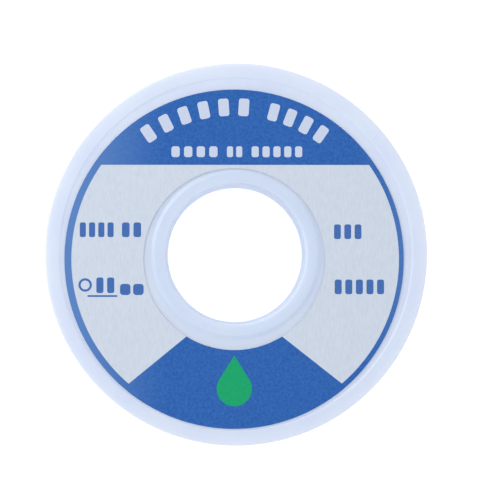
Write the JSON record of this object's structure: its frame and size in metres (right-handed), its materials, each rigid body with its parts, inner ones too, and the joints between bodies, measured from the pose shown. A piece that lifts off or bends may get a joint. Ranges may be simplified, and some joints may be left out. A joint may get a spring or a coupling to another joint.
{
  "type": "solder wire spool",
  "caption": "Round two-part moulded plastic reel of flux-cored solder wire, with wide flanges, an open spindle bore and a printed ring label.",
  "frame": {"origin": "on the spindle axis, at the rear flange's outer face, which the reel lies on", "axes": "+Z along the spindle axis towards the front, labelled flange; +Y the top of the label; +X its right"},
  "size_m": [0.06, 0.06, 0.02],
  "materials": {
    "reel_plastic": "satin",
    "label_paper": "satin",
    "solder_alloy": "satin",
    "flux_rosin": "gloss"
  },
  "bodies": {
    "wound_half": {"rear_half": "reel_plastic", "solder_winding": "solder_alloy", "wire_start_tail": "solder_alloy", "wire_free_end": "solder_alloy", "flux_core": "flux_rosin"},
    "labelled_half": {"front_half": "reel_plastic", "front_label": "label_paper"}
  },
  "joints": [
    {"name": "front_pull_off", "type": "slide", "parent": "wound_half", "child": "labelled_half", "axis": [0, 0, 1], "range_m": [0, 0.018]}
  ]
}
